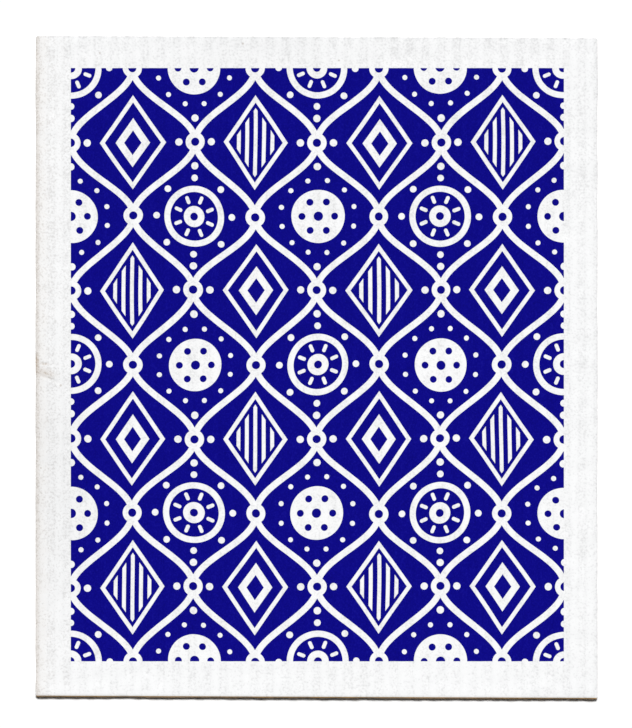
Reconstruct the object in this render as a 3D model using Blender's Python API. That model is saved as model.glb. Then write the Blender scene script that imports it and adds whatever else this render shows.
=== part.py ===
"""A sponge cloth: one flat sheet of ribbed cellulose with a print on its upper side.

Metres, +Z up. The sheet lies on z = 0 with its ribs along Y, and the origin is under its middle.
Seen from above, +X is the right edge and +Y is the top edge.
"""

import math

import bmesh
import bpy

MM = 0.001

# Sheet
SHEET_WIDTH = 170.0 * MM
SHEET_LENGTH = 200.0 * MM
SHEET_THICKNESS = 2.0 * MM
END_SLOPE = 0.7 * MM  # how much lower both cut ends lie at the right edge than at the left

# Cut edge, which the die rounds over on the upper side
RIM_WIDTH = 1.0 * MM
RIM_DROP = 0.45 * MM
RIM_STEPS = 2

# Ribs on both sides, with flat-bottomed channels between them
RIB_PITCH = 4.72 * MM
CHANNEL_WIDTH = 1.7 * MM
SHOULDER_WIDTH = 0.65 * MM
SHOULDER_STEPS = 2
UPPER_CHANNEL_DEPTH = 0.28 * MM
UNDER_CHANNEL_DEPTH = 0.15 * MM

# Printed panel
PRINT_WIDTH = 149.2 * MM
PRINT_LENGTH = 179.5 * MM
PRINT_RIGHT = 0.23 * MM  # the panel's middle lies this far right of the sheet's
PRINT_UP = 0.76 * MM  # and this far above it
CELLS_ACROSS = 4
CELLS_ALONG = 4

# Trellis of bare lines, with a bead where two lines meet
LINE_WIDTH = 1.9 * MM
BEAD_RADIUS = 2.9 * MM
BEAD_EYE_RADIUS = 1.25 * MM

# Wheel
WHEEL_RADIUS = 8.3 * MM
WHEEL_RIM_WIDTH = 1.85 * MM
WHEEL_HUB_RADIUS = 3.2 * MM
WHEEL_EYE_RADIUS = 1.2 * MM
WHEEL_SPOKES = 8
SPOKE_START = 4.6 * MM
SPOKE_END = 6.0 * MM
SPOKE_WIDTH = 1.1 * MM
WHEEL_DOT_REACH = 11.6 * MM
WHEEL_DOT_RADIUS = 1.0 * MM

# Button, a disc pierced by a ring of holes
BUTTON_RADIUS = 8.0 * MM
BUTTON_HOLES = 6
BUTTON_HOLE_REACH = 4.9 * MM
BUTTON_HOLE_RADIUS = 1.05 * MM
BUTTON_EYE_RADIUS = 1.4 * MM
BUTTON_DOTS = 12
BUTTON_DOT_REACH = 11.2 * MM
BUTTON_DOT_RADIUS = 0.75 * MM

# Lozenges, one barred and one nested, both of this outline
LOZENGE_WIDTH = 19.8 * MM
LOZENGE_LENGTH = 28.6 * MM
LOZENGE_LINE = 1.25 * MM
BAR_PITCH = 2.6 * MM
BAR_WIDTH = 1.16 * MM
BAR_GAP = 0.95 * MM  # from the lozenge's line to the bars' ends
INNER_LOZENGE_WIDTH = 10.3 * MM
LOZENGE_EYE_WIDTH = 5.2 * MM

# Loose dots in the tips of the round figures' cells and beside the lozenges
TIP_DOT_REACH = 15.2 * MM
SIDE_DOT_REACH = 13.7 * MM
LOOSE_DOT_RADIUS = 1.1 * MM

# Colours, linear
BARE_COLOUR = (0.91, 0.91, 0.92, 1.0)
INK_COLOUR = (0.0052, 0.0040, 0.2307, 1.0)
BARE_ROUGHNESS = 0.92
INK_ROUGHNESS = 0.8
INK_EDGE = 0.08 * MM  # width over which the ink fades out

LEAST_STEP = 0.05 * MM  # corners of the section stand at least this far apart


class Field:
    """A number at each point of a surface, worked out by the math nodes of one material."""

    def __init__(self, tree, socket):
        self.tree = tree
        self.socket = socket

    def math(self, operation, *others, clamp=False):
        """This field and the others, fields or plain numbers, put through one math node."""
        node = self.tree.nodes.new("ShaderNodeMath")
        node.operation = operation
        node.use_clamp = clamp
        for slot, value in zip(node.inputs, (self, *others)):
            if isinstance(value, Field):
                self.tree.links.new(value.socket, slot)
            else:
                slot.default_value = value
        return Field(self.tree, node.outputs[0])

    def __add__(self, other):
        return self.math("ADD", other)

    def __sub__(self, other):
        return self.math("SUBTRACT", other)

    def __mul__(self, other):
        return self.math("MULTIPLY", other)

    def __truediv__(self, other):
        return self.math("DIVIDE", other)

    def __abs__(self):
        return self.math("ABSOLUTE")

    def with_shape(self, other):
        """Two shapes together, each given as its distance field, negative inside."""
        return self.math("MINIMUM", other)

    def without(self, other):
        """This shape with the other one cut out of it."""
        return self.math("MAXIMUM", other * -1.0)

    def inside(self, other):
        """What this shape and the other one share."""
        return self.math("MAXIMUM", other)

    def wrapped(self, period):
        """This field folded into one period round zero."""
        return self.math("WRAP", period / 2, -period / 2)


def length_of(x, y):
    """The distance of the point x, y from the middle of its figure."""
    return x.math("MULTIPLY", x).math("ADD", y * y).math("SQRT")


def disc(x, y, radius):
    """A round spot."""
    return length_of(x, y) - radius


def ring(x, y, radius, width):
    """A round band whose outer edge has this radius."""
    return abs(length_of(x, y) - (radius - width / 2)) - width / 2


def turned(x, y, count, turn=0.0):
    """The point x, y turned into the nearest of so many equal sectors: along it and across it."""
    angle = (y.math("ARCTAN2", x) - turn).wrapped(2 * math.pi / count)
    reach = length_of(x, y)
    return reach * angle.math("COSINE"), reach * angle.math("SINE")


def dots_round(x, y, count, reach, radius, turn=0.0):
    """So many dots, evenly spaced on a circle."""
    along, across = turned(x, y, count, turn)
    return disc(along - reach, across, radius)


def spokes(x, y, count, start, end, width, turn):
    """So many short strokes that point at the middle."""
    along, across = turned(x, y, count, turn)
    middle, half = (start + end) / 2, (end - start - width) / 2
    past_end = (abs(along - middle) - half).math("MAXIMUM", 0.0)
    return disc(past_end, across, width / 2)


def lozenge(x, y, width, length):
    """An upright lozenge with straight sides."""
    slant = math.hypot(2 / width, 2 / length)
    return (abs(x) * (2 / width) + abs(y) * (2 / length) - 1.0) / slant


def shrunk_lozenge(x, y, width):
    """A lozenge of another width and the same proportions as the lozenges' outline."""
    return lozenge(x, y, width, width * LOZENGE_LENGTH / LOZENGE_WIDTH)


def wheel(x, y):
    """A rim, a hub with an eye, short spokes between them, and a dot in line with each gap."""
    between = math.pi / WHEEL_SPOKES
    shape = ring(x, y, WHEEL_RADIUS + WHEEL_RIM_WIDTH / 2, WHEEL_RIM_WIDTH)
    shape = shape.with_shape(disc(x, y, WHEEL_HUB_RADIUS))
    shape = shape.with_shape(spokes(x, y, WHEEL_SPOKES, SPOKE_START - SPOKE_WIDTH / 2,
                                    SPOKE_END + SPOKE_WIDTH / 2, SPOKE_WIDTH, between))
    shape = shape.with_shape(dots_round(x, y, WHEEL_SPOKES, WHEEL_DOT_REACH, WHEEL_DOT_RADIUS))
    return shape.without(disc(x, y, WHEEL_EYE_RADIUS))


def button(x, y):
    """A disc with an eye and a ring of holes, inside a ring of small dots."""
    shape = disc(x, y, BUTTON_RADIUS)
    shape = shape.without(dots_round(x, y, BUTTON_HOLES, BUTTON_HOLE_REACH, BUTTON_HOLE_RADIUS))
    shape = shape.without(disc(x, y, BUTTON_EYE_RADIUS))
    dots = dots_round(x, y, BUTTON_DOTS, BUTTON_DOT_REACH, BUTTON_DOT_RADIUS, math.pi / BUTTON_DOTS)
    return shape.with_shape(dots)


def barred_lozenge(x, y):
    """A lozenge outline filled with upright bars."""
    outline = lozenge(x, y, LOZENGE_WIDTH, LOZENGE_LENGTH)
    bars = abs(x.wrapped(BAR_PITCH)) - BAR_WIDTH / 2
    bars = bars.inside(outline + (LOZENGE_LINE + BAR_GAP))
    return outline.without(outline + LOZENGE_LINE).with_shape(bars)


def nested_lozenge(x, y):
    """A lozenge outline round a smaller lozenge with an eye."""
    outline = lozenge(x, y, LOZENGE_WIDTH, LOZENGE_LENGTH)
    inner = shrunk_lozenge(x, y, INNER_LOZENGE_WIDTH)
    eye = shrunk_lozenge(x, y, LOZENGE_EYE_WIDTH)
    return outline.without(outline + LOZENGE_LINE).with_shape(inner.without(eye))


def alternating(u, v, cell, shift, first, second):
    """Two figures that take turns over a grid of cells, and the local x, y that they are drawn in."""
    width, length = cell
    column = ((u - shift[0]) / width).math("ROUND")
    row = ((v - shift[1]) / length).math("ROUND")
    x = u - shift[0] - column * width
    y = v - shift[1] - row * length
    turn = (column + row).math("PINGPONG", 1.0)
    shape = first(x, y) * (turn * -1.0 + 1.0) + second(x, y) * turn
    return shape, x, y


def trellis(u, v, cell):
    """Waving bare lines that close into pointed cells, with a pierced bead at each meeting."""
    width, length = cell
    swing = width / 4
    phase = v * (2 * math.pi / length)
    wave = phase.math("COSINE") * swing
    steepness = phase.math("SINE") * (swing * 2 * math.pi / length)
    stretch = length_of(steepness, steepness * 0.0 + 1.0)
    right_hand = abs((u - swing - wave).wrapped(width)) / stretch
    left_hand = abs((u + swing + wave).wrapped(width)) / stretch
    shape = right_hand.math("MINIMUM", left_hand) - LINE_WIDTH / 2
    for across, along in ((width / 2, 0.0), (0.0, length / 2)):
        x, y = (u - across).wrapped(width), (v - along).wrapped(length)
        shape = shape.with_shape(disc(x, y, BEAD_RADIUS)).without(disc(x, y, BEAD_EYE_RADIUS))
    return shape


def bare_share(tree):
    """The print as a field: 1 on the figures that stay bare, 0 on ink."""
    place = tree.nodes.new("ShaderNodeTexCoord")
    parts = tree.nodes.new("ShaderNodeSeparateXYZ")
    tree.links.new(place.outputs["Object"], parts.inputs[0])
    u = Field(tree, parts.outputs["X"]) - PRINT_RIGHT
    v = Field(tree, parts.outputs["Y"]) - PRINT_UP
    cell = (PRINT_WIDTH / CELLS_ACROSS, PRINT_LENGTH / CELLS_ALONG)
    middle = (cell[0] / 2, cell[1] / 2)
    round_figures, x, y = alternating(u, v, cell, (0.0, 0.0), wheel, button)
    tip_dots = disc(x, abs(y) - TIP_DOT_REACH, LOOSE_DOT_RADIUS)
    lozenges, x, y = alternating(u, v, cell, middle, barred_lozenge, nested_lozenge)
    side_dots = disc(abs(x) - SIDE_DOT_REACH, y, LOOSE_DOT_RADIUS)
    shape = trellis(u, v, cell)
    for figure in (round_figures, tip_dots, lozenges, side_dots):
        shape = shape.with_shape(figure)
    return (shape * (-1.0 / INK_EDGE)).math("ADD", 0.5, clamp=True)


def bare_cellulose():
    """Plain off-white cellulose, which shows on the margins, the cut edges and the underside."""
    material = bpy.data.materials.new("cellulose")
    material.use_nodes = True
    shader = material.node_tree.nodes["Principled BSDF"]
    shader.inputs["Base Color"].default_value = BARE_COLOUR
    shader.inputs["Roughness"].default_value = BARE_ROUGHNESS
    shader.inputs["Metallic"].default_value = 0.0
    return material


def printed_cellulose():
    """Cellulose under a field of blue ink that leaves the trellis and its figures bare."""
    material = bare_cellulose()
    material.name = "printed_cellulose"
    tree = material.node_tree
    shader = tree.nodes["Principled BSDF"]
    bare = bare_share(tree)
    colour = tree.nodes.new("ShaderNodeMix")
    colour.data_type = "RGBA"
    colour.inputs[6].default_value = INK_COLOUR
    colour.inputs[7].default_value = BARE_COLOUR
    tree.links.new(bare.socket, colour.inputs[0])
    tree.links.new(colour.outputs[2], shader.inputs["Base Color"])
    roughness = bare * (BARE_ROUGHNESS - INK_ROUGHNESS) + INK_ROUGHNESS
    tree.links.new(roughness.socket, shader.inputs["Roughness"])
    return material


def channel_share(x):
    """How far into a channel x lies: 0 on a rib's crest, 1 on a channel's floor, eased between."""
    from_channel = abs((x / RIB_PITCH + 0.5) % 1.0 - 0.5) * RIB_PITCH
    up_shoulder = (from_channel - CHANNEL_WIDTH / 2) / SHOULDER_WIDTH
    t = 1.0 - min(max(up_shoulder, 0.0), 1.0)
    return t * t * (3.0 - 2.0 * t)


def rim_insets():
    """Distances from the cut edge at which the rounded rim changes slope."""
    turns = [math.pi / 2 * step / RIM_STEPS for step in range(1, RIM_STEPS + 1)]
    return [RIM_WIDTH * (1.0 - math.cos(turn)) for turn in turns]


def rib_lines():
    """Where the ribs' shoulders start, bend and end, channel by channel."""
    channels = math.ceil(SHEET_WIDTH / 2 / RIB_PITCH)
    offsets = [CHANNEL_WIDTH / 2 + SHOULDER_WIDTH * step / SHOULDER_STEPS
               for step in range(SHOULDER_STEPS + 1)]
    return [channel * RIB_PITCH + side * offset
            for channel in range(-channels, channels + 1)
            for offset in offsets
            for side in (-1.0, 1.0)]


def section_stations():
    """Where the section has a corner: at its edges, rims, printed borders and ribs."""
    half = SHEET_WIDTH / 2
    lines = [-half, half]
    lines += [PRINT_RIGHT - PRINT_WIDTH / 2, PRINT_RIGHT + PRINT_WIDTH / 2]
    lines += [side * (half - inset) for inset in rim_insets() for side in (-1.0, 1.0)]
    lines += rib_lines()
    stations = []
    for x in lines:
        if abs(x) <= half and all(abs(x - other) > LEAST_STEP for other in stations):
            stations.append(x)
    return sorted(stations)


def ribbed_section(bm):
    """The sheet's section across the ribs, as a row of faces at its bottom end."""
    y = -SHEET_LENGTH / 2
    corners = []
    for x in section_stations():
        share = channel_share(x)
        under = bm.verts.new((x, y, UNDER_CHANNEL_DEPTH * share))
        upper = bm.verts.new((x, y, SHEET_THICKNESS - UPPER_CHANNEL_DEPTH * share))
        corners.append((under, upper))
    return [bm.faces.new((left[0], right[0], right[1], left[1]))
            for left, right in zip(corners, corners[1:])]


def extrude_along_ribs(bm, section):
    """Carries the section along the sheet and turns every face outwards."""
    carried = bmesh.ops.extrude_face_region(bm, geom=section, use_keep_orig=True)["geom"]
    far_end = [item for item in carried if isinstance(item, bmesh.types.BMVert)]
    bmesh.ops.translate(bm, vec=(0.0, SHEET_LENGTH, 0.0), verts=far_end)
    bmesh.ops.recalc_face_normals(bm, faces=bm.faces)


def slope_at(x):
    """How far the cut ends lie above their mean line at x."""
    return -END_SLOPE * x / SHEET_WIDTH


def slope_ends(bm):
    """Sets both ends a little out of square, as the sheet was cut."""
    for vertex in bm.verts:
        vertex.co.y += slope_at(vertex.co.x)


def cut_across(bm, y, slope):
    """Divides the sheet's faces along a line across the ribs, without parting them."""
    bmesh.ops.bisect_plane(bm, geom=[*bm.verts, *bm.edges, *bm.faces], dist=LEAST_STEP / 100,
                           plane_co=(0.0, y, 0.0), plane_no=(-slope, 1.0, 0.0))


def cut_rows(bm):
    """Adds the lines that the rounded rims at both ends and the printed panel's borders need."""
    for side in (-1.0, 1.0):
        for inset in rim_insets():
            cut_across(bm, side * (SHEET_LENGTH / 2 - inset), -END_SLOPE / SHEET_WIDTH)
        cut_across(bm, PRINT_UP + side * PRINT_LENGTH / 2, 0.0)


def round_rim(bm):
    """Lowers the upper side towards its cut edges along a quarter of an ellipse."""
    for vertex in bm.verts:
        x, y, z = vertex.co
        from_side = SHEET_WIDTH / 2 - abs(x)
        from_end = SHEET_LENGTH / 2 - abs(y - slope_at(x))
        short_by = 1.0 - min(from_side, from_end) / RIM_WIDTH
        if z > SHEET_THICKNESS / 2 and short_by > 0.0:
            vertex.co.z -= RIM_DROP * (1.0 - math.sqrt(max(1.0 - short_by * short_by, 0.0)))


def lies_in_print(face):
    """Whether a face of the sheet belongs to the printed panel."""
    middle = face.calc_center_median()
    return (face.normal.z > 0.5
            and abs(middle.x - PRINT_RIGHT) < PRINT_WIDTH / 2
            and abs(middle.y - PRINT_UP) < PRINT_LENGTH / 2)


def sponge_cloth():
    """The whole cloth: the ribbed sheet, cut to size, with its printed panel."""
    bm = bmesh.new()
    extrude_along_ribs(bm, ribbed_section(bm))
    slope_ends(bm)
    bm.normal_update()
    cut_rows(bm)
    round_rim(bm)
    bm.normal_update()
    for face in bm.faces:
        face.material_index = int(lies_in_print(face))
    mesh = bpy.data.meshes.new("sponge_cloth")
    bm.to_mesh(mesh)
    bm.free()
    mesh.materials.append(bare_cellulose())
    mesh.materials.append(printed_cellulose())
    cloth = bpy.data.objects.new("sponge_cloth", mesh)
    bpy.context.scene.collection.objects.link(cloth)


def clear_scene():
    """Starts from an empty scene."""
    for item in list(bpy.data.objects):
        bpy.data.objects.remove(item, do_unlink=True)


clear_scene()
sponge_cloth()
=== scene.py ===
"""The sponge cloth's look: its ribbed cellulose sheet, the print on it, the studio and the camera.

Metres, +Z up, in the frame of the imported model. The cloth lies on z = 0 with its ribs along Y.
Seen from above, +X is its right edge and +Y its top edge.
"""

import logging
import math
from dataclasses import dataclass
from enum import Enum
from functools import reduce
from operator import add
from typing import TypeAlias

import bpy
import numpy as np
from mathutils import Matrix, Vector
from numpy.typing import NDArray


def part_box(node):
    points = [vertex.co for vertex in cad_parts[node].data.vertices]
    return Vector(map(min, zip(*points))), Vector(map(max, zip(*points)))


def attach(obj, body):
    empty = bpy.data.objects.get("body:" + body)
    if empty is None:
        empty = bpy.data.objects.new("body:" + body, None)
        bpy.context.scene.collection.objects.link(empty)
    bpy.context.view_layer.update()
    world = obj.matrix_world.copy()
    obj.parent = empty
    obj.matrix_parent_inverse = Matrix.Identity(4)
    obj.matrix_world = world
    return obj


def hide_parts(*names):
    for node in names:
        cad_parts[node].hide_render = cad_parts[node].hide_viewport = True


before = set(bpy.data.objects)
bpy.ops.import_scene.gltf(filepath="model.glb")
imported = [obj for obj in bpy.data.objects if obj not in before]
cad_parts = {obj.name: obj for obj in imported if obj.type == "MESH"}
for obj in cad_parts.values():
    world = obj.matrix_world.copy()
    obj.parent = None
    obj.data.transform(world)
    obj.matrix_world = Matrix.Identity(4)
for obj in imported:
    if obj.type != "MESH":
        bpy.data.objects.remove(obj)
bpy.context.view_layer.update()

Array: TypeAlias = NDArray[np.float64]
Indices: TypeAlias = NDArray[np.int64]
Colour: TypeAlias = tuple[float, float, float]
Span: TypeAlias = tuple[float, float]
Tree: TypeAlias = bpy.types.NodeTree
Socket: TypeAlias = bpy.types.NodeSocket
Number: TypeAlias = "Field | float"
Paint: TypeAlias = "Socket | Colour"

MM = 0.001
NOISE_MEAN = 0.5
SPOT_CORE = 0.3  # share of a spot's radius that is at full strength
LOG = logging.getLogger("sponge_cloth")


class Op(Enum):
    """What a math node does with the fields that reach it."""

    ADD = "ADD"
    SUBTRACT = "SUBTRACT"
    MULTIPLY = "MULTIPLY"
    DIVIDE = "DIVIDE"
    LEAST = "MINIMUM"
    MOST = "MAXIMUM"
    SIZE = "ABSOLUTE"
    ROUND = "ROUND"
    WRAP = "WRAP"
    ALTERNATE = "PINGPONG"
    ROOT = "SQRT"
    SINE = "SINE"
    COSINE = "COSINE"
    ANGLE = "ARCTAN2"


class Side(Enum):
    """The two faces of the sheet."""

    UPPER = 1
    UNDER = -1


@dataclass(frozen=True)
class Field:
    """A number at each point of a surface, worked out by the nodes of one material."""

    tree: Tree
    socket: Socket

    def apply(self, op: Op, *others: Number) -> "Field":
        """Puts this field and others through one math node.

        Args:
            op: What the node does.
            others: The fields or plain numbers that follow this one.

        Returns:
            The node's result.
        """
        node = self.tree.nodes.new("ShaderNodeMath")
        node.operation = op.value
        for slot, value in zip(node.inputs, (self, *others)):
            if isinstance(value, Field):
                self.tree.links.new(value.socket, slot)
            else:
                slot.default_value = value
        return Field(self.tree, node.outputs[0])

    def __add__(self, other: Number) -> "Field":
        """The sum."""
        return self.apply(Op.ADD, other)

    def __sub__(self, other: Number) -> "Field":
        """The difference."""
        return self.apply(Op.SUBTRACT, other)

    def __mul__(self, other: Number) -> "Field":
        """The product."""
        return self.apply(Op.MULTIPLY, other)

    def __truediv__(self, other: Number) -> "Field":
        """The quotient."""
        return self.apply(Op.DIVIDE, other)

    def __abs__(self) -> "Field":
        """The size without the sign."""
        return self.apply(Op.SIZE)

    def with_shape(self, other: "Field") -> "Field":
        """Two shapes together, each a distance field that is negative inside."""
        return self.apply(Op.LEAST, other)

    def without(self, other: "Field") -> "Field":
        """This shape with the other one cut out of it."""
        return self.apply(Op.MOST, other * -1.0)

    def within(self, other: "Field") -> "Field":
        """What this shape and the other one share."""
        return self.apply(Op.MOST, other)

    def wrapped(self, period: float) -> "Field":
        """This field folded into one period round zero."""
        return self.apply(Op.WRAP, period / 2, -period / 2)

    def eased(self, low: float, high: float) -> "Field":
        """Rises smoothly from 0 at low to 1 at high, or falls if low is the greater.

        Args:
            low: Where the result is 0.
            high: Where it is 1.

        Returns:
            A field from 0 to 1.
        """
        node = self.tree.nodes.new("ShaderNodeMapRange")
        node.interpolation_type = "SMOOTHSTEP"
        rising = low < high
        node.inputs["From Min"].default_value = min(low, high)
        node.inputs["From Max"].default_value = max(low, high)
        node.inputs["To Min"].default_value = 0.0 if rising else 1.0
        node.inputs["To Max"].default_value = 1.0 if rising else 0.0
        self.tree.links.new(self.socket, node.inputs["Value"])
        return Field(self.tree, node.outputs["Result"])


@dataclass(frozen=True)
class Grain:
    """One kind of soft cloudy noise.

    Its size is roughly that of one cloud, its detail says how many finer layers lie on it, its
    seed picks it out of many such noises, and its stretch draws it out along Y.
    """

    size: float
    detail: float
    seed: float
    stretch: float = 1.0


@dataclass(frozen=True)
class Scatter:
    """Sparse round spots, at most one to each irregular cell.

    The share says how many of the cells hold a spot, and the full share how many of those spots
    are at full strength. The seed picks one of many such scatterings.
    """

    spacing: float
    radius: float
    share: float
    full_share: float
    seed: float


@dataclass(frozen=True)
class Place:
    """Where on the object a point of a surface lies, read from Object coordinates."""

    tree: Tree
    vector: Socket
    x: Field
    y: Field
    z: Field

    @classmethod
    def on(cls, tree: Tree) -> "Place":
        """The place of each point that a material's nodes shade.

        Args:
            tree: The material's nodes.

        Returns:
            The place with its three parts.
        """
        vector = tree.nodes.new("ShaderNodeTexCoord").outputs["Object"]
        parts = tree.nodes.new("ShaderNodeSeparateXYZ")
        tree.links.new(vector, parts.inputs[0])
        return cls(tree, vector, *(Field(tree, socket) for socket in parts.outputs))

    def noise(self, grain: Grain) -> Field:
        """Soft cloudy noise round 0.

        Args:
            grain: Its kind.

        Returns:
            A field from about -0.5 to 0.5.
        """
        mapping = self.tree.nodes.new("ShaderNodeMapping")
        mapping.inputs["Scale"].default_value = (1.0, 1 / grain.stretch, 1.0)
        self.tree.links.new(self.vector, mapping.inputs["Vector"])
        node = self.tree.nodes.new("ShaderNodeTexNoise")
        node.noise_dimensions = "4D"
        node.inputs["Scale"].default_value = 1 / grain.size
        node.inputs["Detail"].default_value = grain.detail
        node.inputs["W"].default_value = grain.seed
        self.tree.links.new(mapping.outputs["Vector"], node.inputs["Vector"])
        return Field(self.tree, node.outputs[0]) - NOISE_MEAN

    def spots(self, scatter: Scatter) -> Field:
        """Sparse round spots.

        Args:
            scatter: Their size, their spacing and how many there are.

        Returns:
            1 in the middle of a spot, falling to 0 at its edge and beyond.
        """
        node = self.tree.nodes.new("ShaderNodeTexVoronoi")
        node.voronoi_dimensions = "4D"
        node.inputs["Scale"].default_value = 1 / scatter.spacing
        node.inputs["W"].default_value = scatter.seed
        self.tree.links.new(self.vector, node.inputs["Vector"])
        chance = self.tree.nodes.new("ShaderNodeSeparateColor")
        self.tree.links.new(node.outputs["Color"], chance.inputs[0])
        chosen = Field(self.tree, chance.outputs[0])
        reach = scatter.radius / scatter.spacing
        spot = Field(self.tree, node.outputs["Distance"]).eased(reach, reach * SPOT_CORE)
        return spot * chosen.eased(scatter.share, scatter.share * scatter.full_share)


def length_of(x: Field, y: Field) -> Field:
    """The distance of the point x, y from the middle of its figure."""
    return (x * x + y * y).apply(Op.ROOT)


def disc(x: Field, y: Field, radius: float) -> Field:
    """A round spot as a distance field."""
    return length_of(x, y) - radius


def turned(x: Field, y: Field, count: int, turn: float = 0.0) -> tuple[Field, Field]:
    """Turns the point x, y into the nearest of so many equal sectors.

    Args:
        x: Across the figure.
        y: Up the figure.
        count: How many sectors there are.
        turn: The angle of the first sector's middle line.

    Returns:
        The distance along the sector's middle line, and the distance from it.
    """
    angle = (y.apply(Op.ANGLE, x) - turn).wrapped(2 * math.pi / count)
    reach = length_of(x, y)
    return reach * angle.apply(Op.COSINE), reach * angle.apply(Op.SINE)


def dots_round(x: Field, y: Field, count: int, reach: float, radius: float,
               turn: float = 0.0) -> Field:
    """So many dots, evenly spaced on a circle of radius reach."""
    along, across = turned(x, y, count, turn)
    return disc(along - reach, across, radius)


@dataclass(frozen=True)
class Wheel:
    """A rim, a hub with an eye, short round-ended spokes between them, and a dot beyond each gap."""

    radius: float = 9.225 * MM
    rim: float = 1.85 * MM
    hub: float = 3.2 * MM
    eye: float = 1.2 * MM
    spokes: int = 8
    spoke_middle: float = 5.3 * MM
    spoke_length: float = 2.5 * MM
    spoke_width: float = 1.1 * MM
    dot_reach: float = 11.6 * MM
    dot: float = 1.0 * MM

    def shape(self, x: Field, y: Field) -> Field:
        """The whole wheel round its middle.

        Args:
            x: Across it.
            y: Up it.

        Returns:
            Its distance field.
        """
        along, across = turned(x, y, self.spokes, math.pi / self.spokes)
        half = (self.spoke_length - self.spoke_width) / 2
        past_end = (abs(along - self.spoke_middle) - half).apply(Op.MOST, 0.0)
        strokes = disc(past_end, across, self.spoke_width / 2)
        rim = abs(length_of(x, y) - (self.radius - self.rim / 2)) - self.rim / 2
        dots = dots_round(x, y, self.spokes, self.dot_reach, self.dot)
        shape = rim.with_shape(disc(x, y, self.hub)).with_shape(strokes)
        return shape.with_shape(dots).without(disc(x, y, self.eye))


@dataclass(frozen=True)
class Button:
    """A disc with an eye and a ring of holes, inside a ring of small dots."""

    radius: float = 8.0 * MM
    eye: float = 1.4 * MM
    holes: int = 6
    hole_reach: float = 4.9 * MM
    hole: float = 1.05 * MM
    dots: int = 12
    dot_reach: float = 11.2 * MM
    dot: float = 0.75 * MM

    def shape(self, x: Field, y: Field) -> Field:
        """The whole button round its middle.

        Args:
            x: Across it.
            y: Up it.

        Returns:
            Its distance field.
        """
        holes = dots_round(x, y, self.holes, self.hole_reach, self.hole)
        dots = dots_round(x, y, self.dots, self.dot_reach, self.dot, math.pi / self.dots)
        return disc(x, y, self.radius).without(holes).without(disc(x, y, self.eye)).with_shape(dots)


@dataclass(frozen=True)
class Lozenge:
    """A lozenge outline, filled with upright bars or with a smaller pierced lozenge."""

    width: float = 19.8 * MM
    length: float = 28.6 * MM
    line: float = 1.25 * MM
    bar_pitch: float = 2.6 * MM
    bar: float = 1.16 * MM
    bar_gap: float = 0.95 * MM
    inner_width: float = 10.3 * MM
    eye_width: float = 5.2 * MM

    def solid(self, x: Field, y: Field, width: float) -> Field:
        """A full lozenge: |x| over its half width plus |y| over its half length is 1 on its line.

        Args:
            x: Across it.
            y: Up it.
            width: Its width, from which its length follows in proportion.

        Returns:
            Its distance field.
        """
        across, along = 2 / width, 2 / width * self.width / self.length
        return (abs(x) * across + abs(y) * along - 1.0) / math.hypot(across, along)

    def shape(self, x: Field, y: Field, turn: Field) -> Field:
        """The outline and its filling.

        Args:
            x: Across it.
            y: Up it.
            turn: 0 where the bars fill it and 1 where the pierced lozenge does.

        Returns:
            Its distance field.
        """
        outline = self.solid(x, y, self.width)
        bars = abs(x.wrapped(self.bar_pitch)) - self.bar / 2
        bars = bars.within(outline + (self.line + self.bar_gap))
        inner = self.solid(x, y, self.inner_width).without(self.solid(x, y, self.eye_width))
        filling = bars * (turn * -1.0 + 1.0) + inner * turn
        return outline.without(outline + self.line).with_shape(filling)


@dataclass(frozen=True)
class Trellis:
    """Waving bare lines that close into pointed cells, with a pierced bead at each meeting."""

    line: float = 1.9 * MM
    bead: float = 2.9 * MM
    bead_eye: float = 1.25 * MM

    def shape(self, u: Field, v: Field, width: float, length: float) -> Field:
        """The trellis as a distance field.

        A line's x swings by a quarter of a cell's width as the cosine of its height in the cell,
        and its neighbour swings the other way, so that they touch once a cell. The distance across
        is divided by the line's steepness to keep its width even.

        Args:
            u: Across the panel, from its middle.
            v: Up the panel, from its middle.
            width: The width of a cell.
            length: The length of a cell.

        Returns:
            The distance field of the lines and the beads, without the beads' eyes.
        """
        swing = width / 4
        phase = v * (2 * math.pi / length)
        wave = phase.apply(Op.COSINE) * swing
        steepness = phase.apply(Op.SINE) * (swing * 2 * math.pi / length)
        stretch = (steepness * steepness + 1.0).apply(Op.ROOT)
        right_hand = abs((u - swing - wave).wrapped(width))
        left_hand = abs((u + swing + wave).wrapped(width))
        shape = right_hand.apply(Op.LEAST, left_hand) / stretch - self.line / 2
        for across, along in ((width / 2, 0.0), (0.0, length / 2)):
            x, y = (u - across).wrapped(width), (v - along).wrapped(length)
            shape = shape.with_shape(disc(x, y, self.bead)).without(disc(x, y, self.bead_eye))
        return shape


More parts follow.
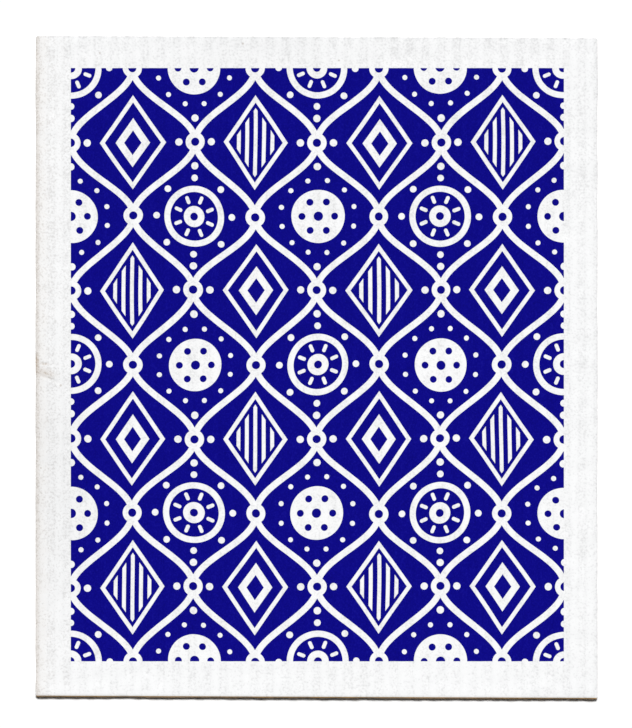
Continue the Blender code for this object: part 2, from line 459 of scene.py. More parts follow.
@dataclass(frozen=True)
class Print:
    """The printed panel: a field of ink that leaves a trellis and the figures in its cells bare.

    The figures are drawn with a slow waver, as if cut by hand, and the ink bleeds a little into
    the grain at its edges.
    """

    width: float = 149.2 * MM
    length: float = 179.5 * MM
    right: float = 0.23 * MM
    up: float = 0.76 * MM
    cells_across: int = 4
    cells_along: int = 4
    trellis: Trellis = Trellis()
    wheel: Wheel = Wheel()
    button: Button = Button()
    lozenge: Lozenge = Lozenge()
    tip_dot_reach: float = 15.2 * MM
    side_dot_reach: float = 13.7 * MM
    loose_dot: float = 1.1 * MM
    waver: float = 1.5 * MM
    waver_across: Grain = Grain(28 * MM, 0.0, 3.1)
    waver_along: Grain = Grain(28 * MM, 0.0, 7.7)
    bleed: float = 0.035 * MM
    bleed_grain: Grain = Grain(0.7 * MM, 1.0, 1.3)
    edge: float = 0.06 * MM

    @property
    def cell(self) -> Span:
        """The width and the length of a cell."""
        return self.width / self.cells_across, self.length / self.cells_along

    def local(self, u: Field, v: Field, shift: Span) -> tuple[Field, Field, Field]:
        """Finds the cell that a point is in.

        Args:
            u: Across the panel, from its middle.
            v: Up the panel, from its middle.
            shift: The middle of one cell.

        Returns:
            The point's x and y in its cell, and 0 or 1 by turns from cell to cell.
        """
        width, length = self.cell
        column = ((u - shift[0]) / width).apply(Op.ROUND)
        row = ((v - shift[1]) / length).apply(Op.ROUND)
        x = u - shift[0] - column * width
        y = v - shift[1] - row * length
        return x, y, (column + row).apply(Op.ALTERNATE, 1.0)

    def figures(self, u: Field, v: Field) -> Field:
        """The trellis, the figures in its cells and the loose dots.

        Args:
            u: Across the panel, from its middle.
            v: Up the panel, from its middle.

        Returns:
            Their distance field.
        """
        width, length = self.cell
        shape = self.trellis.shape(u, v, width, length)
        x, y, turn = self.local(u, v, (0.0, 0.0))
        rounds = self.wheel.shape(x, y) * (turn * -1.0 + 1.0) + self.button.shape(x, y) * turn
        shape = shape.with_shape(rounds)
        shape = shape.with_shape(disc(x, abs(y) - self.tip_dot_reach, self.loose_dot))
        x, y, turn = self.local(u, v, (width / 2, length / 2))
        shape = shape.with_shape(self.lozenge.shape(x, y, turn))
        return shape.with_shape(disc(abs(x) - self.side_dot_reach, y, self.loose_dot))

    def inked(self, place: Place) -> Field:
        """Where the ink lies.

        Args:
            place: Where the shaded point is.

        Returns:
            1 on ink and 0 on bare cellulose.
        """
        from_middle_x, from_middle_y = place.x - self.right, place.y - self.up
        u = from_middle_x + place.noise(self.waver_across) * self.waver
        v = from_middle_y + place.noise(self.waver_along) * self.waver
        past_side = abs(from_middle_x) - self.width / 2
        past_end = abs(from_middle_y) - self.length / 2
        bleed = place.noise(self.bleed_grain) * self.bleed
        panel = past_side.within(past_end).without(self.figures(u, v)) + bleed
        return panel.eased(self.edge / 2, -self.edge / 2)


@dataclass(frozen=True)
class Outline:
    """The sheet as it was cut: two upright sides, and two ends that slope down to the right."""

    width: float
    length: float
    end_slope: float = 0.7 * MM

    @classmethod
    def in_box(cls, low: Vector, high: Vector) -> "Outline":
        """The outline that fills a box, whose length holds the slope of the ends."""
        return cls(high.x - low.x, high.y - low.y - cls.end_slope)

    def squared_y(self, place: Place) -> Field:
        """A point's y if the ends were square to the sides."""
        return place.y + place.x * (self.end_slope / self.width)

    def above_bottom(self, place: Place) -> Field:
        """How far up from the bottom cut end a point lies."""
        return self.squared_y(place) + self.length / 2

    def below_top(self, place: Place) -> Field:
        """How far down from the top cut end a point lies."""
        return self.squared_y(place) * -1.0 + self.length / 2

    def inset(self, place: Place) -> Field:
        """How far in from the nearest cut edge a point lies."""
        from_end = abs(self.squared_y(place)) * -1.0 + self.length / 2
        return (abs(place.x) * -1.0 + self.width / 2).apply(Op.LEAST, from_end)


@dataclass(frozen=True)
class Ribs:
    """The ribs along the sheet and the flat-bottomed channels between them."""

    pitch: float = 4.72 * MM
    channel: float = 1.7 * MM
    shoulder: float = 0.65 * MM
    upper_depth: float = 0.28 * MM
    under_depth: float = 0.15 * MM

    def channel_share(self, x: Array) -> Array:
        """How far into a channel x lies.

        Args:
            x: Across the ribs, with a channel's middle at 0.

        Returns:
            0 on a rib's crest and 1 on a channel's floor, eased as 3t^2 - 2t^3 between.
        """
        from_channel = np.abs((x / self.pitch + 0.5) % 1.0 - 0.5) * self.pitch
        t = 1.0 - np.clip((from_channel - self.channel / 2) / self.shoulder, 0.0, 1.0)
        return t * t * (3.0 - 2.0 * t)

    def shaded_share(self, x: Field) -> Field:
        """The same share as a field, for the grain that gathers in the channels."""
        half = self.channel / 2
        return abs(x.wrapped(self.pitch)).eased(half + self.shoulder, half)


@dataclass(frozen=True)
class Oval:
    """A soft-edged oval mark, turned from the X axis, with its reach along and across."""

    x: float
    y: float
    along: float
    across: float
    turn: float

    def share(self, place: Place) -> Field:
        """How far into the oval a point lies: 1 in its middle, easing out to 0.

        A point's distances along and across the oval are each divided by the oval's own reach, and
        the share falls as their joint length rises to 1.

        Args:
            place: Where the shaded point is.

        Returns:
            A field from 0 to 1.
        """
        cos, sin = math.cos(self.turn), math.sin(self.turn)
        x, y = place.x - self.x, place.y - self.y
        along = (x * cos + y * sin) / self.along
        across = (y * cos - x * sin) / self.across
        return length_of(along, across).eased(1.0, 0.0)


@dataclass(frozen=True)
class Crease(Oval):
    """A pressed fold near an edge, brown where dirt has settled in it."""

    depth: float
    dirt: float


@dataclass(frozen=True)
class GreyPatch(Oval):
    """A wide patch where the sheet is a little greyer."""

    depth: float


@dataclass(frozen=True)
class Speck:
    """One dark fibre fleck in the sheet."""

    x: float
    y: float
    radius: float

    def share(self, place: Place) -> Field:
        """1 in the middle of the fleck, easing out to 0."""
        from_middle = length_of(place.x - self.x, place.y - self.y)
        return from_middle.eased(self.radius, self.radius * SPOT_CORE)


@dataclass(frozen=True)
class Stain:
    """A band of browning beside the left edge, with a ragged inner border.

    It sets in at one distance from the edge and is full at another.
    """

    sets_in: float
    full: float
    raggedness: float
    strength: float
    in_pits: float

    def share(self, from_left: Field, ragged: Field, pits: Field) -> Field:
        """How brown the band makes a point."""
        reach = (from_left + ragged * self.raggedness).eased(self.sets_in, self.full)
        return reach * (pits * self.in_pits + self.strength)


def fed(tree: Tree, slot: Socket, value: Paint) -> None:
    """Gives an input a colour of its own, or the output that feeds it.

    Args:
        tree: The material's nodes.
        slot: The input.
        value: A colour or the output that gives it.
    """
    if isinstance(value, tuple):
        slot.default_value = (*value, 1.0)
    else:
        tree.links.new(value, slot)


def mixed(share: Field, first: Paint, second: Paint) -> Socket:
    """Blends two colours.

    Args:
        share: 0 for the first colour and 1 for the second.
        first: A colour or the output that gives it.
        second: The other colour.

    Returns:
        The blended colour's output.
    """
    node = share.tree.nodes.new("ShaderNodeMix")
    node.data_type = "RGBA"
    share.tree.links.new(share.socket, node.inputs[0])
    fed(share.tree, node.inputs[6], first)
    fed(share.tree, node.inputs[7], second)
    return node.outputs[2]


def scaled(colour: Paint, factor: Field) -> Socket:
    """Makes a colour lighter or darker.

    Args:
        colour: A colour or the output that gives it.
        factor: What it is multiplied by.

    Returns:
        The new colour's output.
    """
    node = factor.tree.nodes.new("ShaderNodeVectorMath")
    node.operation = "SCALE"
    if isinstance(colour, tuple):
        node.inputs[0].default_value = colour
    else:
        factor.tree.links.new(colour, node.inputs[0])
    factor.tree.links.new(factor.socket, node.inputs["Scale"])
    return node.outputs[0]


@dataclass(frozen=True)
class Pores:
    """The open cells of the sponge, and the soft lumps of its faces.

    The cells crowd together in clusters that are drawn out along the ribs, in wide patches, in
    the channels, and more and more towards the top end, as painted shade that darkens the top.
    """

    cells: Grain = Grain(0.62 * MM, 3.0, 0.4)
    clusters: Grain = Grain(2.2 * MM, 2.0, 5.2, stretch=1.8)
    patches: Grain = Grain(30 * MM, 1.0, 8.4)
    lumps: Grain = Grain(2.6 * MM, 2.0, 5.2)
    in_clusters: float = 0.27
    in_patches: float = 0.16
    in_channels: float = 0.062
    # painted shade: more pits, and so a darker sheet, towards the top end
    painted_shade_towards_top: float = 0.19
    openness: Span = (-0.04, 0.32)
    pit_depth: float = 0.022 * MM
    lump_height: float = 0.05 * MM
    ink_fill: float = 0.35

    def pits(self, place: Place, channel: Field) -> Field:
        """How deep a point lies in the open cells.

        Args:
            place: Where the shaded point is.
            channel: 1 in the channels and 0 on the ribs' crests.

        Returns:
            A field from 0 on the walls of the cells to 1 in the darkest of them.
        """
        crowding = place.noise(self.clusters) * self.in_clusters
        crowding = crowding + place.noise(self.patches) * self.in_patches
        crowding = crowding + channel * self.in_channels + place.y * self.painted_shade_towards_top
        return (place.noise(self.cells) + crowding).eased(*self.openness)

    def relief(self, place: Place, pits: Field, inked: Field) -> Field:
        """The height of the lumps less the depth of the pits, both evened out by the ink."""
        lumps = place.noise(self.lumps) * self.lump_height
        return (pits * -self.pit_depth + lumps) * (inked * -self.ink_fill + 1.0)


@dataclass(frozen=True)
class Shades:
    """How much lighter or darker than its mean colour the sheet is.

    Painted shade darkens its pits, its channels and its rounded rims. It is greyer in two patches,
    the upper one painted shade too.
    """

    clouds: Grain = Grain(9 * MM, 2.0, 3.3)
    cloud_depth: float = 0.035
    drift: Grain = Grain(60 * MM, 1.0, 9.1)
    drift_depth: float = 0.03
    # painted shade: darker in the open cells of the sponge
    pit_depth: float = 0.178
    # painted shade: the channels between the ribs are a little darker
    channel_painted_shade: float = 0.022
    # painted shade: the rounded rims are darker near every cut edge, the top end's most
    rim: Span = (0.8 * MM, 0.2 * MM)
    rim_painted_shade: float = 0.05
    top_rim: Span = (1.1 * MM, 0.2 * MM)
    top_rim_painted_shade: float = 0.12
    grey_patches: tuple[GreyPatch, ...] = (
        # painted shade: the middle of the top end greyer, where the light falls off
        GreyPatch(-12 * MM, 98 * MM, along=55 * MM, across=23 * MM, turn=0.0, depth=0.036),
        GreyPatch(-79 * MM, -34 * MM, along=22 * MM, across=70 * MM, turn=0.0, depth=0.058),
    )

    def tone(self, outline: Outline, place: Place, channel: Field, pits: Field) -> Field:
        """Adds up what lightens and darkens a point.

        Args:
            outline: The sheet's outline.
            place: Where the shaded point is.
            channel: 1 in the channels and 0 on the ribs' crests.
            pits: How deep it lies in the open cells.

        Returns:
            A factor round 1.
        """
        tone = place.noise(self.clouds) * self.cloud_depth + place.noise(self.drift) * self.drift_depth
        # painted shade: darker in the pits and in the channels
        tone = tone + 1.0 - pits * self.pit_depth - channel * self.channel_painted_shade
        tone = tone - reduce(add, [grey_patch.share(place) * grey_patch.depth for grey_patch in self.grey_patches])
        # painted shade on the rounded rims
        rim = outline.inset(place).eased(*self.rim)
        top_rim = outline.below_top(place).eased(*self.top_rim)
        return tone - rim * self.rim_painted_shade - top_rim * self.top_rim_painted_shade


@dataclass(frozen=True)
class Browning:
    """How the sheet has browned along its left edge, most of all in the pits there."""

    ragged: Grain = Grain(2.2 * MM, 2.0, 6.3)
    stains: tuple[Stain, ...] = (
        Stain(1.6 * MM, 0.4 * MM, raggedness=0.8 * MM, strength=0.40, in_pits=0.0),
        Stain(5.0 * MM, 1.0 * MM, raggedness=4.0 * MM, strength=0.27, in_pits=0.25),
        Stain(13.0 * MM, 5.0 * MM, raggedness=4.0 * MM, strength=0.02, in_pits=0.2),
    )

    def share(self, outline: Outline, place: Place, pits: Field) -> Field:
        """0 where the sheet has kept its colour, rising as the stains add up."""
        from_left, ragged = place.x + outline.width / 2, place.noise(self.ragged)
        return reduce(add, [painted_shade_and_stain.share(from_left, ragged, pits) for painted_shade_and_stain in self.stains])


@dataclass(frozen=True)
class CutEdge:
    """The die-cut edges below the rounded rim, where the cells are cut open.

    Along the bottom end, the cut and the rim above it carry painted shade: a brown line on the
    side away from the key light.
    """

    colour: Colour = (0.66, 0.60, 0.53)
    height: Span = (1.45 * MM, 1.30 * MM)
    inset: Span = (0.30 * MM, 0.15 * MM)
    lightness: float = 1.1
    # painted shade: the cut is darker in its open cells
    pit_depth: float = 0.5
    # painted shade: a brown line along the bottom end, the side away from the key light
    painted_shade_and_stain: Colour = (0.46, 0.27, 0.10)
    lower_shade_reach: Span = (0.42 * MM, 0.16 * MM)
    lower_shade_below_rim: float = 0.50

    def share(self, outline: Outline, place: Place) -> Field:
        """1 on the cut edges, below the rounded rim, and 0 on the two faces."""
        return place.z.eased(*self.height) * outline.inset(place).eased(*self.inset)

    def lower_share(self, outline: Outline, place: Place) -> Field:
        """Where the brown painted shade lies: 1 at the bottom end and 0 away from it."""
        return outline.above_bottom(place).eased(*self.lower_shade_reach)

    def paint(self, lower: Field, pits: Field) -> Socket:
        """The cut's colour: brown painted shade along the bottom end, and painted shade in its pits."""
        lower_shaded = mixed(lower * self.lower_shade_below_rim, self.colour, self.painted_shade_and_stain)
        return scaled(lower_shaded, pits * -self.pit_depth + self.lightness)


@dataclass(frozen=True)
class Ink:
    """Blue ink, mottled by the grain, and a little thinner on the grain's high spots."""

    colour: Colour = (0.0027, 0.0017, 0.2130)
    lightness: float = 1.04
    grain: Grain = Grain(0.45 * MM, 2.0, 2.2)
    mottle: float = 0.78
    sheet_showing: float = 0.55
    high_spots: Span = (0.0, 0.25)
    thinness: float = 0.004
    smoother: float = 0.12
    upper_side: Span = (0.6 * MM, 0.9 * MM)

    def over(self, bare: Socket, inked: Field, place: Place, tone: Field) -> Socket:
        """Lays the ink over the bare sheet.

        Args:
            bare: The output that gives the sheet's own colour.
            inked: 1 on ink and 0 on bare cellulose.
            place: Where the shaded point is.
            tone: The sheet's lightness there, as a factor round 1.

        Returns:
            The output that gives the printed colour.
        """
        grain = place.noise(self.grain)
        tone = (tone - 1.0) * self.sheet_showing + grain * self.mottle + self.lightness
        covered = inked * (grain.eased(*self.high_spots) * -self.thinness + 1.0)
        return mixed(covered, bare, scaled(self.colour, tone))


@dataclass(frozen=True)
class CelluloseFinish:
    """Dry cellulose and cotton sponge: off-white, matt and pitted, with a few dark flecks.

    It has browned along its left edge, and dirt has settled in the creases there.
    """

    outline: Outline
    ribs: Ribs
    panel: Print = Print()
    pores: Pores = Pores()
    shades: Shades = Shades()
    browning: Browning = Browning()
    cut_edge: CutEdge = CutEdge()
    ink: Ink = Ink()
    bare: Colour = (0.902, 0.903, 0.904)
    brown: Colour = (0.770, 0.725, 0.680)
    roughness: float = 0.93
    specular: float = 0.04
    dirt: Colour = (0.44, 0.32, 0.21)
    dirt_all_over: float = 0.6
    dirt_in_pits: float = 0.8
    creases: tuple[Crease, ...] = (
        Crease(-81.0 * MM, -3.5 * MM, 6.0 * MM, 0.9 * MM, turn=-0.40, depth=0.09 * MM, dirt=0.05),
        Crease(-82.6 * MM, -1.6 * MM, 5.6 * MM, 2.2 * MM, turn=-0.24, depth=0.03 * MM, dirt=0.46),
        Crease(-82.3 * MM, 1.0 * MM, 2.2 * MM, 0.7 * MM, turn=-0.03, depth=0.07 * MM, dirt=0.42),
        Crease(-84.9 * MM, 1.4 * MM, 3.4 * MM, 1.3 * MM, turn=1.54, depth=0.05 * MM, dirt=0.80),
    )
    fleck: Colour = (0.40, 0.34, 0.28)
    fleck_strength: float = 0.5
    flecks: Scatter = Scatter(spacing=4.4 * MM, radius=0.40 * MM, share=0.10, full_share=0.8, seed=4.4)
    large_flecks: tuple[Speck, ...] = (
        Speck(-77.4 * MM, -5.5 * MM, radius=0.55 * MM),
        Speck(6.8 * MM, 92.8 * MM, radius=0.45 * MM),
        Speck(-22.3 * MM, 97.9 * MM, radius=0.50 * MM),
        Speck(-65.6 * MM, 95.1 * MM, radius=0.40 * MM),
    )

    def relief(self, place: Place, pits: Field, inked: Field) -> Field:
        """The height of the fine grain, with the creases pressed into it."""
        pressed = reduce(add, [crease.share(place) * crease.depth for crease in self.creases])
        return self.pores.relief(place, pits, inked) - pressed

    def colour(self, place: Place, channel: Field, pits: Field, inked: Field) -> Socket:
        """The sheet's colour, bare, inked and cut.

        Args:
            place: Where the shaded point is.
            channel: 1 in the channels and 0 on the ribs' crests.
            pits: How deep it lies in the open cells.
            inked: 1 on ink and 0 on bare cellulose.

        Returns:
            The output that gives the colour.
        """
        tone = self.shades.tone(self.outline, place, channel, pits)
        lower = self.cut_edge.lower_share(self.outline, place)
        colour = mixed(self.browning.share(self.outline, place, pits), self.bare, self.brown)
        hold = pits * self.dirt_in_pits + self.dirt_all_over
        for crease in self.creases:
            colour = mixed(crease.share(place) * hold * crease.dirt, colour, self.dirt)
        # painted shade: the upper face's rim along the bottom end turns brown
        colour = scaled(mixed(lower, colour, self.cut_edge.painted_shade_and_stain), tone)
        flecks = place.spots(self.flecks)
        for speck in self.large_flecks:
            flecks = flecks.apply(Op.MOST, speck.share(place))
        colour = mixed(flecks * self.fleck_strength, colour, self.fleck)
        colour = self.ink.over(colour, inked, place, tone)
        return mixed(self.cut_edge.share(self.outline, place), colour, self.cut_edge.paint(lower, pits))

    def material(self, name: str) -> bpy.types.Material:
        """Builds the finish.

        Args:
            name: What the material is called.

        Returns:
            A material that reads Object coordinates alone.
        """
        made = bpy.data.materials.new(name)
        made.use_nodes = True
        tree = made.node_tree
        shader = tree.nodes["Principled BSDF"]
        shader.inputs["Metallic"].default_value = 0.0
        shader.inputs["Specular IOR Level"].default_value = self.specular
        place = Place.on(tree)
        channel = self.ribs.shaded_share(place.x)
        pits = self.pores.pits(place, channel)
        inked = self.panel.inked(place) * place.z.eased(*self.ink.upper_side)
        tree.links.new(self.colour(place, channel, pits, inked), shader.inputs["Base Color"])
        roughness = inked * -self.ink.smoother + self.roughness
        tree.links.new(roughness.socket, shader.inputs["Roughness"])
        bump = tree.nodes.new("ShaderNodeBump")
        bump.inputs["Strength"].default_value = 1.0
        bump.inputs["Distance"].default_value = 1.0
        tree.links.new(self.relief(place, pits, inked).socket, bump.inputs["Height"])
        tree.links.new(bump.outputs["Normal"], shader.inputs["Normal"])
        return made


@dataclass(frozen=True)
class Waves:
    """Smooth random ups and downs: a sum of sines with seeded directions, lengths and phases."""

    shortest: float
    longest: float
    seed: int
    height: float
    count: int = 24

    def at(self, x: Array, y: Array) -> Array:
        """The height at each point.

        Args:
            x: Across the sheet.
            y: Along the sheet.

        Returns:
            Heights round 0 with a spread of about the waves' own height.
        """
        random = np.random.default_rng(self.seed)
        turn = random.uniform(0.0, math.pi, self.count)
        lengths = np.exp(random.uniform(math.log(self.shortest), math.log(self.longest), self.count))
        phase = random.uniform(0.0, 2 * math.pi, self.count)
        pull_x, pull_y = 2 * math.pi * np.cos(turn) / lengths, 2 * math.pi * np.sin(turn) / lengths
        angles = x[..., None] * pull_x + y[..., None] * pull_y + phase
        return np.sin(angles).sum(axis=-1) * math.sqrt(2.0 / self.count) * self.height


@dataclass(frozen=True)
class Unevenness:
    """How the sheet strays from a perfect one.

    Its edges and its ribs wander sideways, its channels change by a share of their depth, its
    upper face swells, waves and ripples, and its cut wall is uneven and a little hollow.
    """

    edges: Waves = Waves(7 * MM, 40 * MM, 13, 0.05 * MM)
    edge_reach: float = 1.5 * MM
    ribs: Waves = Waves(40 * MM, 120 * MM, 14, 0.12 * MM)
    channels: Waves = Waves(5 * MM, 16 * MM, 11, 0.18)
    swells: Waves = Waves(5 * MM, 16 * MM, 11, 0.022 * MM)
    waves: Waves = Waves(60 * MM, 150 * MM, 12, 0.03 * MM)
    ripple_pitch: float = 12.6 * MM
    ripple_height: float = 0.022 * MM
    wall: Waves = Waves(0.8 * MM, 4 * MM, 15, 0.03 * MM)
    wall_fineness: float = 3.0
    wall_hollow: float = 0.03 * MM


@dataclass(frozen=True)
class Cloth:
    """The sponge cloth: one ribbed sheet of cellulose, cut to size and printed on one side."""

    outline: Outline
    thickness: float
    ribs: Ribs
    uneven: Unevenness = Unevenness()
    rim_width: float = 1.0 * MM
    rim_drop: float = 0.45 * MM
    rim_levelling: float = 0.75
    corner_radius: float = 0.75 * MM
    lower_flare: float = 0.22 * MM
    flare_turn: float = 0.62 * math.pi
    rim_steps: int = 6
    column_step: float = 0.59 * MM
    row_step: float = 1.42 * MM
    wall_rings: int = 4
    sharp_angle: float = math.radians(50.0)

    def stations(self, extent: float, step: float) -> Array:
        """Grid lines from edge to edge, evenly spaced inside and closer together on the rims.

        Args:
            extent: The width or the length of the sheet.
            step: The spacing inside.

        Returns:
            Their places from the middle, lowest first.
        """
        turns = np.linspace(0.0, math.pi / 2, self.rim_steps + 1)[1:]
        rim = extent / 2 - self.rim_width * (1.0 - np.cos(turns))
        inside = extent / 2 - self.rim_width
        count = int(round(2 * inside / step))
        middle = np.linspace(-inside, inside, count + 1)
        outer = np.concatenate([[extent / 2], rim[:-1]])
        return np.concatenate([-outer, middle, outer[::-1]])

    def square_grid(self) -> tuple[Array, Array]:
        """The x and y of each grid point if the ends were square and the corners sharp."""
        columns = self.stations(self.outline.width, self.column_step)
        return np.meshgrid(columns, self.stations(self.outline.length, self.row_step))

    def rounded(self, x: Array, y: Array) -> tuple[Array, Array]:
        """Draws the square corners of the grid in to arcs.

        In the square of the corner's radius, the shares a across and b along, each from 0 to 1 at
        the edge, become a times the root of 1 - b^2/2, and b times the root of 1 - a^2/2.

        Args:
            x: Across the square-cornered grid.
            y: Along it.

        Returns:
            The same grid with round corners.
        """
        radius = self.corner_radius
        a = np.clip((np.abs(x) - self.outline.width / 2) / radius + 1.0, 0.0, 1.0)
        b = np.clip((np.abs(y) - self.outline.length / 2) / radius + 1.0, 0.0, 1.0)
        pull_x = a * (1.0 - np.sqrt(1.0 - b**2 / 2)) * radius
        pull_y = b * (1.0 - np.sqrt(1.0 - a**2 / 2)) * radius
        return x - np.sign(x) * pull_x, y - np.sign(y) * pull_y

    def grid(self) -> tuple[Array, Array]:
        """The plan of the sheet's grid, rows along Y.

        Both ends slope down to the right. Each edge wanders along waves of its own, and its wander
        dies away inwards as e to the power of minus the distance over the reach.

        Returns:
            The x and y of each point.
        """
        x, y = self.square_grid()
        near_side = np.exp((np.abs(x) - self.outline.width / 2) / self.uneven.edge_reach)
        near_end = np.exp((np.abs(y) - self.outline.length / 2) / self.uneven.edge_reach)
        shift_x = self.uneven.edges.at(np.sign(x), y) * near_side
        shift_y = self.uneven.edges.at(x, np.sign(y)) * near_end
        x, y = self.rounded(x, y)
        return x + shift_x, y + shift_y - self.outline.end_slope * x / self.outline.width

    def rim_fall(self) -> Array:
        """How far the rounded rim falls: a quarter of an ellipse over the rim's width.

        Returns:
            The fall at each grid point.
        """
        x, y = self.square_grid()
        inset = np.minimum(self.outline.width / 2 - np.abs(x), self.outline.length / 2 - np.abs(y))
        short_by = np.clip(1.0 - inset / self.rim_width, 0.0, 1.0)
        return self.rim_drop * (1.0 - np.sqrt(1.0 - short_by**2))

    def surface(self, side: Side, x: Array, y: Array) -> Array:
        """The height of one face of the sheet.

        The upper face is the thickness less the channels and the rim, plus swells, waves and a
        cosine ripple. The channels grow shallow down the rim, which the die pressed nearly level.
        The under face is the channels alone, so that the ribs' crests lie on the floor.

        Args:
            side: Which face.
            x: Across the sheet, on the grid.
            y: Along the sheet, on the grid.

        Returns:
            The height of each grid point.
        """
        uneven = self.uneven
        share = self.ribs.channel_share(x + uneven.ribs.at(np.zeros_like(x), y))
        if side is Side.UNDER:
            return share * self.ribs.under_depth
        rim = self.rim_fall()
        swell = uneven.swells.at(x, y) + uneven.waves.at(x, y)
        ripple = np.cos(2 * math.pi * y / uneven.ripple_pitch) * uneven.ripple_height
        depth = share * self.ribs.upper_depth * (1.0 + uneven.channels.at(y, x))
        depth *= 1.0 - self.rim_levelling * rim / self.rim_drop
        return self.thickness - depth - rim + swell + ripple

    def wall(self, top: Array, bottom: Array) -> Array:
        """The cut edge between the two faces' borders.

        It is a little hollow and uneven. Along the bottom end it flares out below the rim, as a
        sine of the depth down the wall.

        Args:
            top: The upper face's border points in order.
            bottom: The under face's, beside them.

        Returns:
            Rings of points from just below the top to just above the bottom.
        """
        share = np.linspace(0.0, 1.0, self.wall_rings + 2)[1:-1, None, None]
        rings = top * (1.0 - share) + bottom * share
        along = np.roll(top, -1, axis=0) - np.roll(top, 1, axis=0)
        outward = np.stack([along[:, 1], -along[:, 0]], axis=-1)
        outward /= np.linalg.norm(outward, axis=-1, keepdims=True)
        wander = self.uneven.wall.at(rings[..., 0] + rings[..., 1],
                                     rings[..., 2] * self.uneven.wall_fineness)
        lower_end = np.clip(-outward[:, 1], 0.0, 1.0)
        flare = np.sin(share[..., 0] * self.flare_turn) * lower_end * self.lower_flare
        rings[..., :2] += outward * (wander - self.uneven.wall_hollow + flare)[..., None]
        return rings

    def mesh(self) -> bpy.types.Mesh:
        """The closed mesh: two grids of quads and the rings of the wall that joins them.

        Returns:
            The mesh, with its faces pointing out.
        """
        x, y = self.grid()
        upper = np.stack([x, y, self.surface(Side.UPPER, x, y)], axis=-1)
        under = np.stack([x, y, self.surface(Side.UNDER, x, y)], axis=-1)
        rows, columns = x.shape
        index = np.arange(rows * columns).reshape(rows, columns)
        border = np.concatenate([index[0, :-1], index[:-1, -1], index[-1, :0:-1], index[:0:-1, 0]])
        points = [upper.reshape(-1, 3), under.reshape(-1, 3)]
        rings = self.wall(points[0][border], points[1][border])
        first_ring = 2 * rows * columns
        ring_index = first_ring + np.arange(rings.shape[0] * border.size).reshape(-1, border.size)
        loops = np.vstack([border, ring_index, border + rows * columns])
        faces = np.vstack([quads(index), quads(index + rows * columns)[:, ::-1], ring_quads(loops)])
        mesh = bpy.data.meshes.new("sponge_cloth_sheet")
        mesh.from_pydata(np.vstack([*points, rings.reshape(-1, 3)]).tolist(), [], faces.tolist())
        mesh.polygons.foreach_set("use_smooth", np.ones(len(faces), bool))
        mesh.set_sharp_from_angle(angle=self.sharp_angle)
        mesh.update()
        return mesh

    def build(self, finish: CelluloseFinish) -> bpy.types.Object:
        """Makes the cloth, dresses it and ties it to the frame.

        Args:
            finish: What it is made of.

        Returns:
            The finished piece, at the origin, unturned and unscaled.
        """
        piece = bpy.data.objects.new("cloth_sheet", self.mesh())
        bpy.context.scene.collection.objects.link(piece)
        piece.data.materials.append(finish.material("printed_cellulose"))
        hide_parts("sponge_cloth")
        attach(piece, "root")
        return piece


def quads(index: Indices) -> Indices:
    """The quads of a grid of point numbers, turned so that they face up."""
    corners = [index[:-1, :-1], index[:-1, 1:], index[1:, 1:], index[1:, :-1]]
    return np.stack(corners, axis=-1).reshape(-1, 4)


def ring_quads(loops: Indices) -> Indices:
    """The quads between closed rings of point numbers, from the top down, turned to face out."""
    ahead = np.roll(loops, -1, axis=1)
    return np.stack([loops[:-1], loops[1:], ahead[1:], ahead[:-1]], axis=-1).reshape(-1, 4)


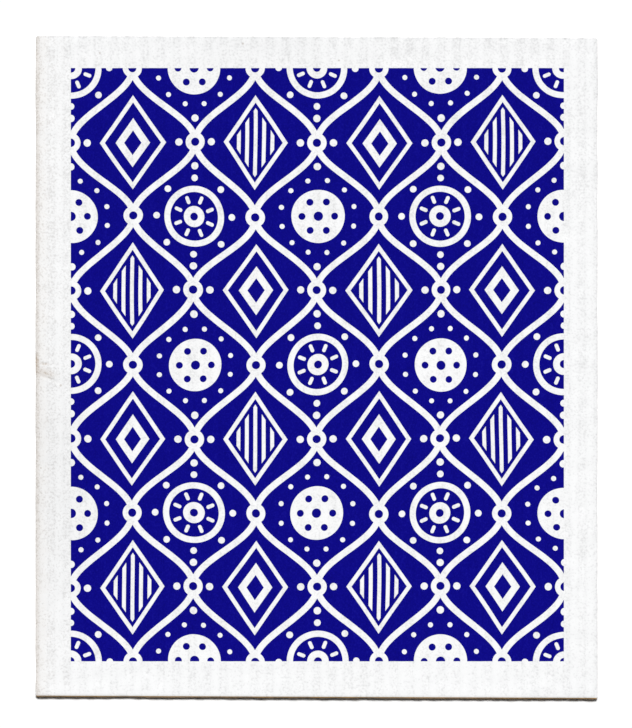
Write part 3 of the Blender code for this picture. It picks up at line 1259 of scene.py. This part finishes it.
@dataclass(frozen=True)
class Studio:
    """A plain pale floor under one soft light that comes from beyond the cloth's top edge."""

    floor_size: float = 6.0
    floor_gap: float = 0.02 * MM
    floor_colour: Colour = (0.97, 0.97, 0.97)
    key_strength: float = 3.86
    key_elevation: float = math.radians(58.5)
    key_azimuth: float = math.radians(1.0)
    key_softness: float = math.radians(16.0)
    fill_colour: Colour = (0.80, 0.89, 1.0)
    fill_strength: float = 0.035

    def lay_floor(self) -> None:
        """Lays a wide floor just under the cloth."""
        half, z = self.floor_size / 2, -self.floor_gap
        mesh = bpy.data.meshes.new("floor")
        mesh.from_pydata([(-half, -half, z), (half, -half, z), (half, half, z), (-half, half, z)],
                         [], [(0, 1, 2, 3)])
        paint = bpy.data.materials.new("floor_paint")
        paint.use_nodes = True
        shader = paint.node_tree.nodes["Principled BSDF"]
        shader.inputs["Base Color"].default_value = (*self.floor_colour, 1.0)
        shader.inputs["Roughness"].default_value = 1.0
        shader.inputs["Specular IOR Level"].default_value = 0.0
        mesh.materials.append(paint)
        floor = bpy.data.objects.new("floor", mesh)
        bpy.context.scene.collection.objects.link(floor)

    def hang_key(self) -> None:
        """Hangs a broad distant light, as even over the cloth as a large window."""
        data = bpy.data.lights.new("key", "SUN")
        data.energy = self.key_strength
        data.angle = self.key_softness
        lamp = bpy.data.objects.new("key", data)
        flat = math.cos(self.key_elevation)
        towards = Vector((math.sin(self.key_azimuth) * flat, math.cos(self.key_azimuth) * flat,
                          math.sin(self.key_elevation)))
        lamp.rotation_euler = towards.to_track_quat("Z", "Y").to_euler()
        bpy.context.scene.collection.objects.link(lamp)

    def set_fill(self) -> None:
        """Sets up a faint even light from all round."""
        world = bpy.data.worlds.new("fill")
        world.use_nodes = True
        background = world.node_tree.nodes["Background"]
        background.inputs["Color"].default_value = (*self.fill_colour, 1.0)
        background.inputs["Strength"].default_value = self.fill_strength
        bpy.context.scene.world = world

    def build(self) -> None:
        """Sets up the floor, the lights and plain colour handling."""
        self.lay_floor()
        self.hang_key()
        self.set_fill()
        view = bpy.context.scene.view_settings
        view.view_transform = "Standard"
        view.look = "None"
        view.exposure = 0.0
        view.gamma = 1.0


@dataclass(frozen=True)
class Viewpoint:
    """A camera straight above the cloth, so far off that it looks nearly flat."""

    image_height_px: float = 728.0
    pixels_per_mm: float = 3.305
    cloth_middle_px: Span = (316.6, 367.2)
    image_middle_px: Span = (316.0, 364.0)
    lens_mm: float = 200.0
    sensor_mm: float = 36.0
    focus_height: float = 1.8 * MM

    def build(self) -> bpy.types.Object:
        """Places the camera so that the cloth takes the size and place it has in the photo.

        Returns:
            The camera, already set as the scene's own.
        """
        data = bpy.data.cameras.new("camera")
        data.lens = self.lens_mm
        data.sensor_width = self.sensor_mm
        seen = self.image_height_px / self.pixels_per_mm * MM
        away = seen * self.lens_mm / self.sensor_mm
        off_x = (self.image_middle_px[0] - self.cloth_middle_px[0]) / self.pixels_per_mm * MM
        off_y = (self.cloth_middle_px[1] - self.image_middle_px[1]) / self.pixels_per_mm * MM
        camera = bpy.data.objects.new("camera", data)
        camera.location = (off_x, off_y, away + self.focus_height)
        bpy.context.scene.collection.objects.link(camera)
        bpy.context.scene.camera = camera
        return camera


def corners(box: tuple[Vector, Vector]) -> list[list[float]]:
    """A box's lowest and highest corners as plain lists."""
    return [list(corner) for corner in box]


def main() -> None:
    """Builds the camera, the cloth and the studio in order, and reports each."""
    logging.basicConfig(level=logging.INFO, format="%(name)s: %(message)s")
    camera = Viewpoint().build()
    LOG.info("camera %.3f m above the floor", camera.location.z)
    low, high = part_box("sponge_cloth")
    outline = Outline.in_box(Vector(low), Vector(high))
    ribs = Ribs()
    cloth = Cloth(outline, high[2] - low[2], ribs)
    piece = cloth.build(CelluloseFinish(outline, ribs))
    LOG.info("%s: %d faces", piece.name, len(piece.data.polygons))
    Studio().build()
    LOG.info("floor, key light and fill light are up")


if __name__ == "__main__":
    main()
